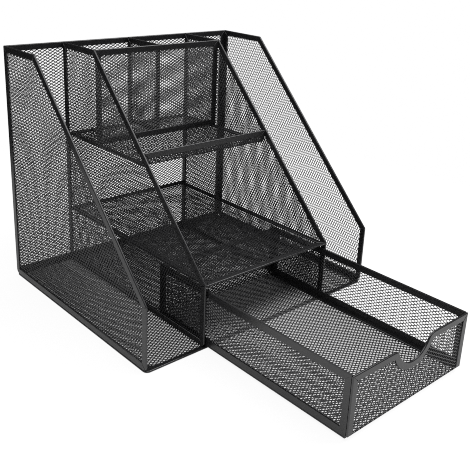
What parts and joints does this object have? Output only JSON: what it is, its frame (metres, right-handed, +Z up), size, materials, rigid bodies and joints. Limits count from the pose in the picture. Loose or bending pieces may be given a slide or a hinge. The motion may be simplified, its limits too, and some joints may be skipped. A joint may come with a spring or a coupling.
{
  "type": "desk organiser with drawer",
  "caption": "Black mesh desk organiser: upright file slots at both ends, pen cups over a lipped shelf, an open shelf, and a drawer with a finger scoop that slides out below.",
  "frame": {"origin": "centre of the floor's footprint on the desk, without the drawer", "axes": "+Z up, +Y to the back, +X to the right seen from the front; the drawer opens along -Y"},
  "size_m": [0.35, 0.496, 0.3],
  "materials": {
    "mesh": "satin black powder coat on expanded steel mesh",
    "rim": "satin black powder coat on folded steel strip"
  },
  "bodies": {
    "organiser": {"floor_mesh": "mesh", "floor_rim": "rim", "outer_left_mesh": "mesh", "outer_left_rim": "rim", "outer_right_mesh": "mesh", "outer_right_rim": "rim", "inner_left_mesh": "mesh", "inner_left_rim": "rim", "inner_right_mesh": "mesh", "inner_right_rim": "rim", "back_mesh": "mesh", "back_rim": "rim", "middle_shelf_mesh": "mesh", "middle_shelf_rim": "rim", "pen_front_mesh": "mesh", "pen_front_rim": "rim", "pen_divider_mesh": "mesh", "pen_divider_rim": "rim", "upper_shelf_mesh": "mesh", "upper_shelf_rim": "rim", "upper_shelf_lip_rim": "rim"},
    "drawer": {"drawer_tray_mesh": "mesh", "drawer_floor_rim": "rim", "drawer_front_rim": "rim", "drawer_back_rim": "rim", "drawer_left_mesh": "mesh", "drawer_left_rim": "rim", "drawer_right_mesh": "mesh", "drawer_right_rim": "rim"}
  },
  "joints": [
    {"name": "drawer_slide", "type": "slide", "parent": "organiser", "child": "drawer", "axis": [0, -1, 0], "range_m": [-0.202, 0.018]}
  ]
}
